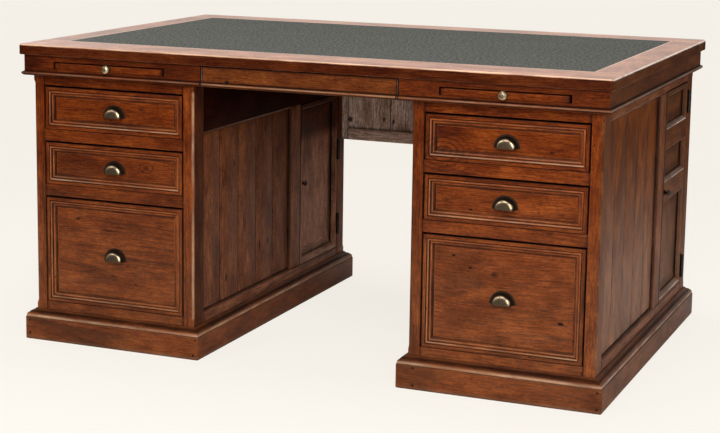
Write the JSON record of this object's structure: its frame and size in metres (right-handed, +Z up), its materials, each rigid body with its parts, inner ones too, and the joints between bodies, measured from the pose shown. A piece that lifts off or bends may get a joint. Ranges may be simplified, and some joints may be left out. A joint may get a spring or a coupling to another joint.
{
  "type": "partners desk",
  "caption": "Partners desk with a leather-lined top on drawer pedestals, pull-out writing slides, a shallow centre drawer, rear cupboard doors and a moulded plinth.",
  "frame": {"origin": "floor level under the middle of the top", "axes": "+X along the desk to the sitter's right, -Y towards the sitter at the drawer front, +Z up"},
  "size_m": [1.524, 1.024, 0.762],
  "materials": {
    "stained_timber": "dark stained, waxed and distressed",
    "weathered_timber": "unpolished, grey-brown",
    "bare_timber": "plain sanded",
    "leather": "fine-grained, satin",
    "antique_brass": "antique, dark in the hollows",
    "black_iron": "black, satin"
  },
  "bodies": {
    "carcass": {"top_front_board": "stained_timber", "top_back_board": "stained_timber", "top_end_boards": "stained_timber", "top_core": "bare_timber", "leather_inset": "leather", "frieze_front_left": "stained_timber", "frieze_front_right": "stained_timber", "frieze_ends": "stained_timber", "frieze_back": "stained_timber", "frieze_dividers": "bare_timber", "frieze_runners": "bare_timber", "apron_frame": "weathered_timber", "apron_boards": "weathered_timber", "hinge_frame_leaves": "black_iron", "hinge_pins": "black_iron", "left_plinth": "stained_timber", "left_posts": "stained_timber", "left_rails": "stained_timber", "left_panel_boards": "stained_timber", "left_panel_mouldings": "stained_timber", "left_inner_boards": "bare_timber", "left_drawer_runners": "bare_timber", "right_plinth": "stained_timber", "right_posts": "stained_timber", "right_rails": "stained_timber", "right_panel_boards": "stained_timber", "right_panel_mouldings": "stained_timber", "right_inner_boards": "bare_timber", "right_drawer_runners": "bare_timber"},
    "left_slide": {"left_slide_board": "stained_timber", "left_slide_knob": "antique_brass"},
    "left_file_drawer": {"left_file_drawer_front": "stained_timber", "left_file_drawer_box": "bare_timber", "left_file_drawer_pull": "antique_brass"},
    "left_middle_drawer": {"left_middle_drawer_front": "stained_timber", "left_middle_drawer_box": "bare_timber", "left_middle_drawer_pull": "antique_brass"},
    "left_upper_drawer": {"left_upper_drawer_front": "stained_timber", "left_upper_drawer_box": "bare_timber", "left_upper_drawer_pull": "antique_brass"},
    "right_slide": {"right_slide_board": "stained_timber", "right_slide_knob": "antique_brass"},
    "right_file_drawer": {"right_file_drawer_front": "stained_timber", "right_file_drawer_box": "bare_timber", "right_file_drawer_pull": "antique_brass"},
    "right_middle_drawer": {"right_middle_drawer_front": "stained_timber", "right_middle_drawer_box": "bare_timber", "right_middle_drawer_pull": "antique_brass"},
    "right_upper_drawer": {"right_upper_drawer_front": "stained_timber", "right_upper_drawer_box": "bare_timber", "right_upper_drawer_pull": "antique_brass"},
    "centre_drawer": {"centre_drawer_front": "stained_timber", "centre_drawer_box": "bare_timber"},
    "kneehole_door": {"kneehole_door": "stained_timber", "kneehole_door_knob": "black_iron", "kneehole_door_leaves": "black_iron"},
    "outer_door": {"outer_door": "stained_timber", "outer_door_knob": "black_iron", "outer_door_leaves": "black_iron"}
  },
  "joints": [
    {"name": "left_slide_out", "type": "slide", "parent": "carcass", "child": "left_slide", "axis": [0, -1, 0], "range_m": [0, 0.3]},
    {"name": "left_file_drawer_out", "type": "slide", "parent": "carcass", "child": "left_file_drawer", "axis": [0, -1, 0], "range_m": [0, 0.4]},
    {"name": "left_middle_drawer_out", "type": "slide", "parent": "carcass", "child": "left_middle_drawer", "axis": [0, -1, 0], "range_m": [0, 0.4]},
    {"name": "left_upper_drawer_out", "type": "slide", "parent": "carcass", "child": "left_upper_drawer", "axis": [0, -1, 0], "range_m": [0, 0.4]},
    {"name": "right_slide_out", "type": "slide", "parent": "carcass", "child": "right_slide", "axis": [0, -1, 0], "range_m": [0, 0.3]},
    {"name": "right_file_drawer_out", "type": "slide", "parent": "carcass", "child": "right_file_drawer", "axis": [0, -1, 0], "range_m": [0, 0.4]},
    {"name": "right_middle_drawer_out", "type": "slide", "parent": "carcass", "child": "right_middle_drawer", "axis": [0, -1, 0], "range_m": [0, 0.4]},
    {"name": "right_upper_drawer_out", "type": "slide", "parent": "carcass", "child": "right_upper_drawer", "axis": [0, -1, 0], "range_m": [0, 0.4]},
    {"name": "centre_drawer_out", "type": "slide", "parent": "carcass", "child": "centre_drawer", "axis": [0, -1, 0], "range_m": [0, 0.3]},
    {"name": "kneehole_door_swing", "type": "hinge", "parent": "carcass", "child": "kneehole_door", "pos_m": [-0.28, 0.4225, 0.378], "axis": [0, 0, 1], "range_deg": [0, 90]},
    {"name": "outer_door_swing", "type": "hinge", "parent": "carcass", "child": "outer_door", "pos_m": [0.74, 0.4225, 0.378], "axis": [0, 0, 1], "range_deg": [0, 110]}
  ]
}
